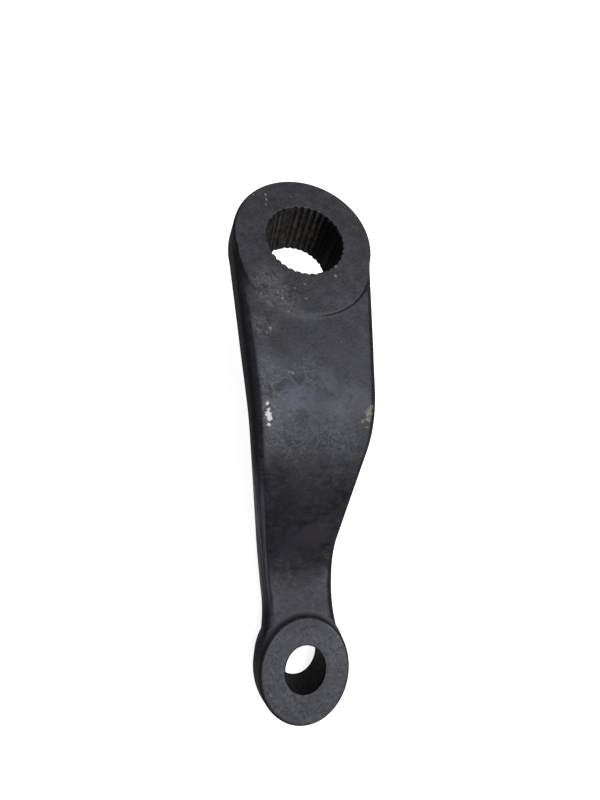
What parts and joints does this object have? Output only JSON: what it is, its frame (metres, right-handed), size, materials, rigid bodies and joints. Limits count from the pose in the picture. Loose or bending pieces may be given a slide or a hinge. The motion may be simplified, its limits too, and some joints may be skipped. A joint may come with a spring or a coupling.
{
  "type": "pitman arm",
  "caption": "Forged dropped steering arm with a splined bore in its wide end, a tapering S-bent body and an eye with a tapered ball-stud hole.",
  "frame": {"origin": "centre of the splined bore on the wide end's front face", "axes": "+Z along the splined bore, out of the front face; the arm runs from the bore to the eye along -Y and drops towards -Z; +X completes the right-handed frame"},
  "size_m": [0.0606, 0.2192, 0.0705],
  "materials": {
    "black_forging": "matte black coat on a forged steel skin, scuffed and dusty, with chips and light rust in the splines"
  },
  "bodies": {
    "root": {"pitman_arm": "black_forging"}
  },
  "joints": []
}
